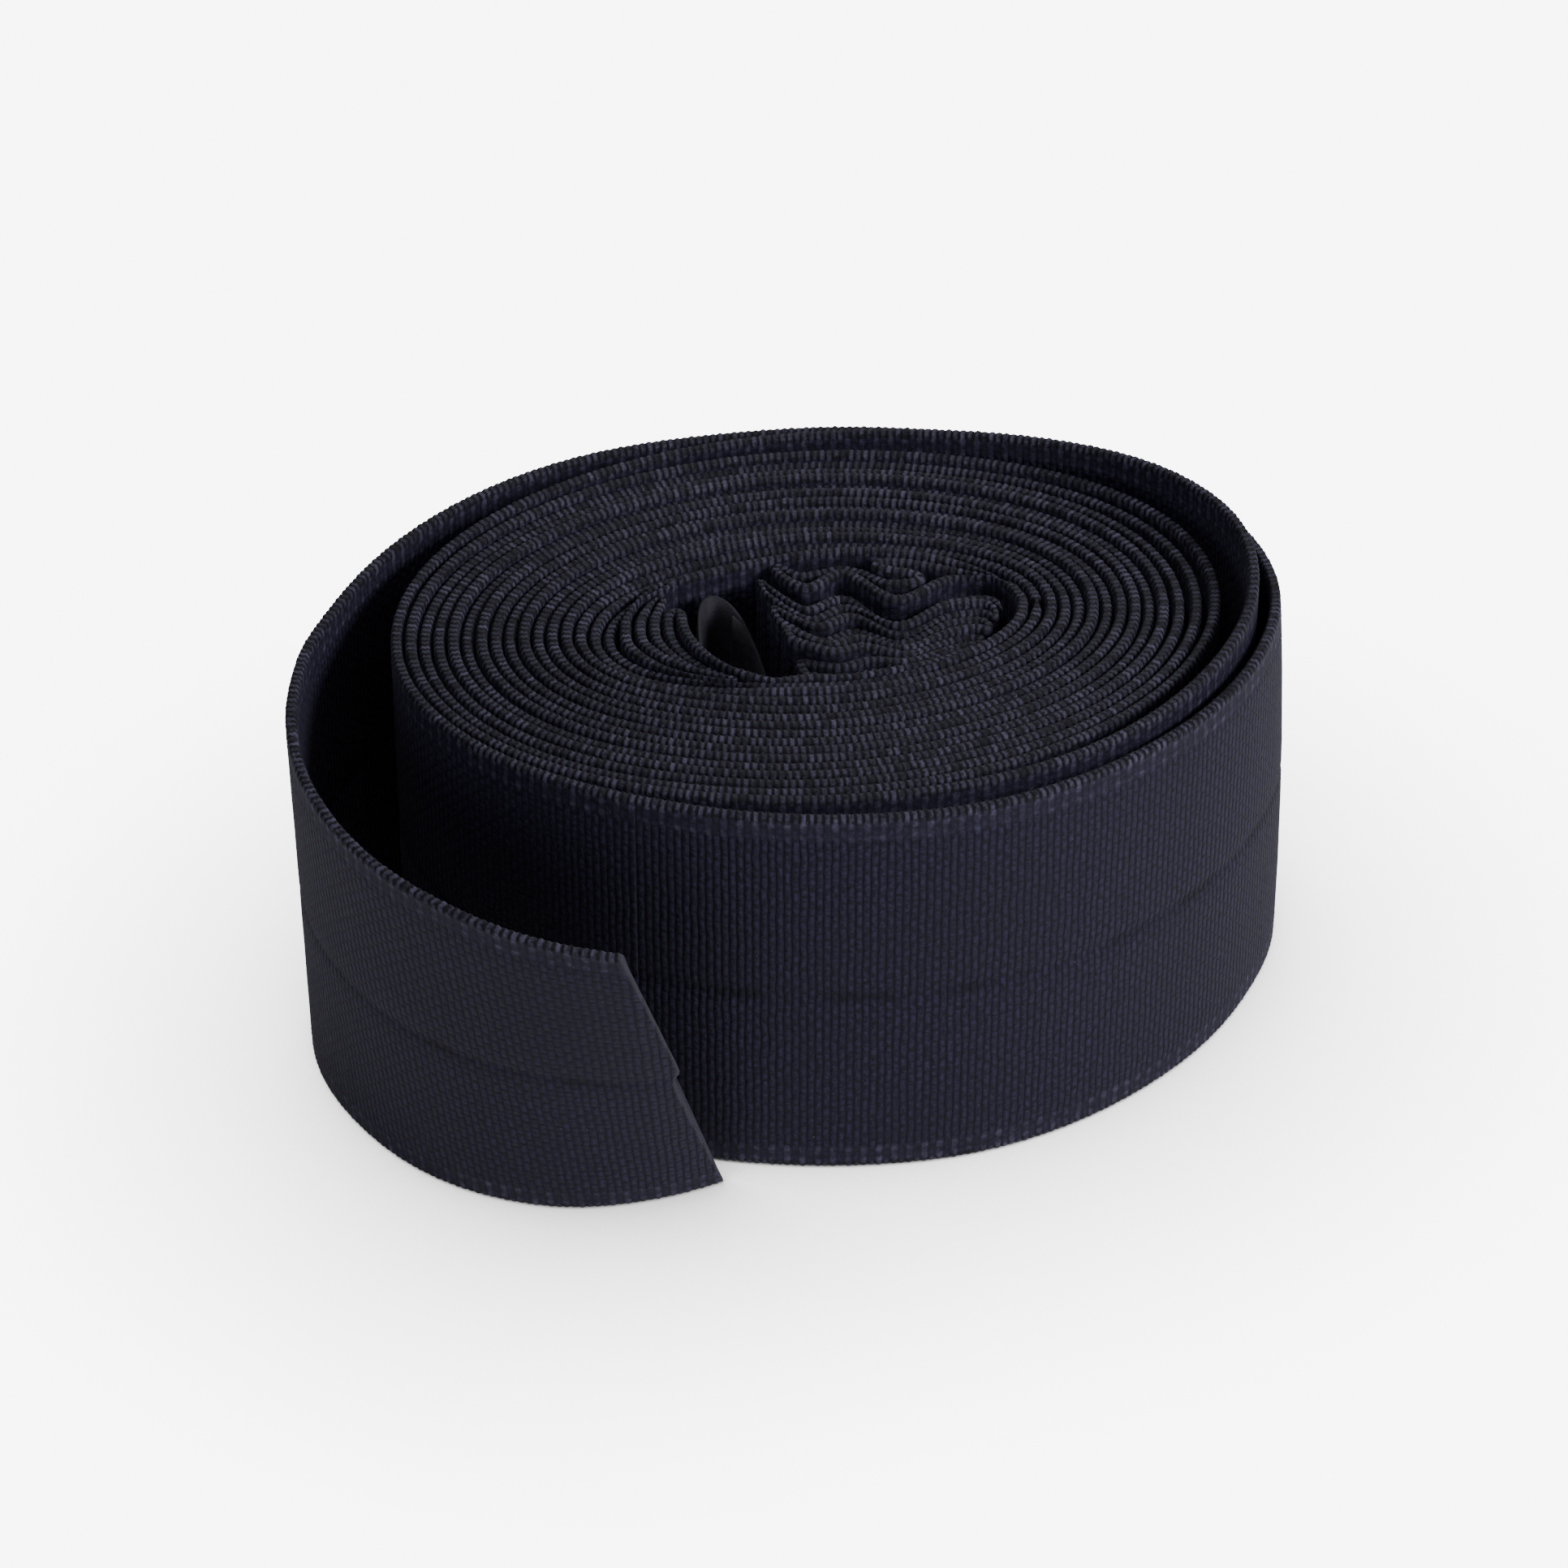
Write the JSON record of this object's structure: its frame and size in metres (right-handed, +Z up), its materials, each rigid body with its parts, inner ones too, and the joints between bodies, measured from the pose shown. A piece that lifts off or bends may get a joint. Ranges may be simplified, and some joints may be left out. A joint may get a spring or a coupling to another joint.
{
  "type": "hand wrap",
  "caption": "Black elastic boxing hand wrap rolled on edge into an oval roll, its outer turn loose and ending in a slant-cut flap with a hook patch.",
  "frame": {"origin": "on the surface the roll rests on, under the middle of the oval roll", "axes": "+Z up along the band's width, +X towards the roll's right end, +Y towards its back; the free end lies at the front left, towards -X and -Y"},
  "size_m": [0.1142, 0.1005, 0.0544],
  "materials": {
    "band_elastic": "ribbed elastic knit, matte",
    "loop_tape": "plain woven tape, matte",
    "hook_nylon": "moulded nylon hooks",
    "loop_pile": "brushed nylon loop pile",
    "thread": "twisted polyester sewing thread"
  },
  "bodies": {
    "roll": {"core_folds": "band_elastic", "thumb_loop": "loop_tape", "thumb_loop_bartack": "thread", "tight_turns": "band_elastic", "second_turn": "band_elastic", "outer_turn_front": "band_elastic"},
    "right_stretch": {"outer_turn_right": "band_elastic"},
    "back_stretch": {"outer_turn_back": "band_elastic", "loop_patch": "loop_pile", "loop_patch_stitching": "thread"},
    "back_left_stretch": {"outer_turn_back_left": "band_elastic"},
    "left_stretch": {"outer_turn_left": "band_elastic"},
    "front_left_stretch": {"outer_turn_front_left": "band_elastic"},
    "flap": {"free_end_flap": "band_elastic", "hook_patch": "hook_nylon", "hook_patch_stitching": "thread"}
  },
  "joints": [
    {"name": "right_bend", "type": "hinge", "parent": "roll", "child": "right_stretch", "pos_m": [0.05371, 0.01424, 0], "axis": [0, 0, -1], "range_deg": [0, 20]},
    {"name": "back_right_bend", "type": "hinge", "parent": "right_stretch", "child": "back_stretch", "pos_m": [0.02838, 0.03551, 0], "axis": [0, 0, -1], "range_deg": [0, 32]},
    {"name": "loose_turn_opening", "type": "hinge", "parent": "back_stretch", "child": "back_left_stretch", "pos_m": [-0.02892, 0.03174, 0], "axis": [0, 0, -1], "range_deg": [0, 60]},
    {"name": "left_bend", "type": "hinge", "parent": "back_left_stretch", "child": "left_stretch", "pos_m": [-0.04733, 0.01566, 0], "axis": [0, 0, -1], "range_deg": [0, 45]},
    {"name": "left_end_bend", "type": "hinge", "parent": "left_stretch", "child": "front_left_stretch", "pos_m": [-0.05686, -0.0048, 0], "axis": [0, 0, -1], "range_deg": [0, 45]},
    {"name": "flap_lift", "type": "hinge", "parent": "front_left_stretch", "child": "flap", "pos_m": [-0.05162, -0.03032, 0], "axis": [0.0608, 0.052, -0.9968], "range_deg": [-2, 60]}
  ],
  "couplings": [
    {"joint": "back_right_bend", "follows": "loose_turn_opening", "ratio": 0.5},
    {"joint": "right_bend", "follows": "loose_turn_opening", "ratio": 0.3}
  ]
}
